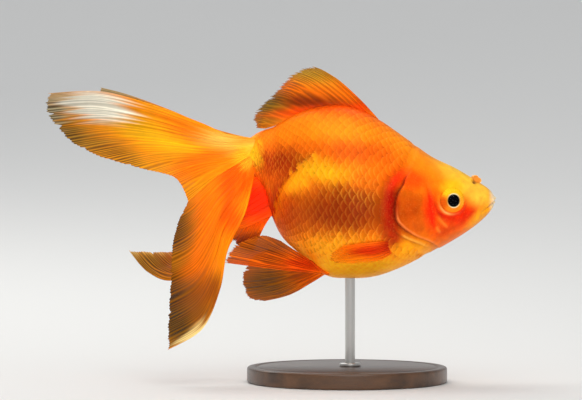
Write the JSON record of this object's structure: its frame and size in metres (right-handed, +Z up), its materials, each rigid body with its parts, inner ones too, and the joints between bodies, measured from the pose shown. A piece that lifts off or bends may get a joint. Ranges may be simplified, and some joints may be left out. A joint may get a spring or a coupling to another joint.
{
  "type": "goldfish",
  "caption": "Life-size still model of an orange and gold fantail goldfish, swimming nose a little down, on a round base with a short rod.",
  "frame": {"origin": "centre of the underside of the stand's base", "axes": "+X towards the nose, +Y towards the fish's left side, +Z up"},
  "size_m": [0.1426, 0.064, 0.101],
  "materials": {
    "skin": "wet orange and gold fish skin under small overlapping scales",
    "fin": "thin fin web with branching rays, red at the root and paler and clearer at the edge",
    "eye": "clear wet eye with a gold ring and a black pupil",
    "base_wood": "dark stained wood, satin",
    "rod_steel": "brushed steel rod"
  },
  "bodies": {
    "root": {"head": "skin", "lower_jaw": "skin", "gill_cover_left": "skin", "gill_cover_right": "skin", "trunk": "skin", "tail_base": "skin", "eye_left": "eye", "eye_right": "eye", "dorsal_fin": "fin", "pectoral_fin_left": "fin", "pectoral_fin_right": "fin", "pelvic_fin_left": "fin", "pelvic_fin_right": "fin", "anal_fin_left": "fin", "anal_fin_right": "fin", "tail_left_upper": "fin", "tail_left_lower": "fin", "tail_right_upper": "fin", "tail_right_lower": "fin", "stand_base": "base_wood", "stand_rod": "rod_steel"}
  },
  "joints": []
}
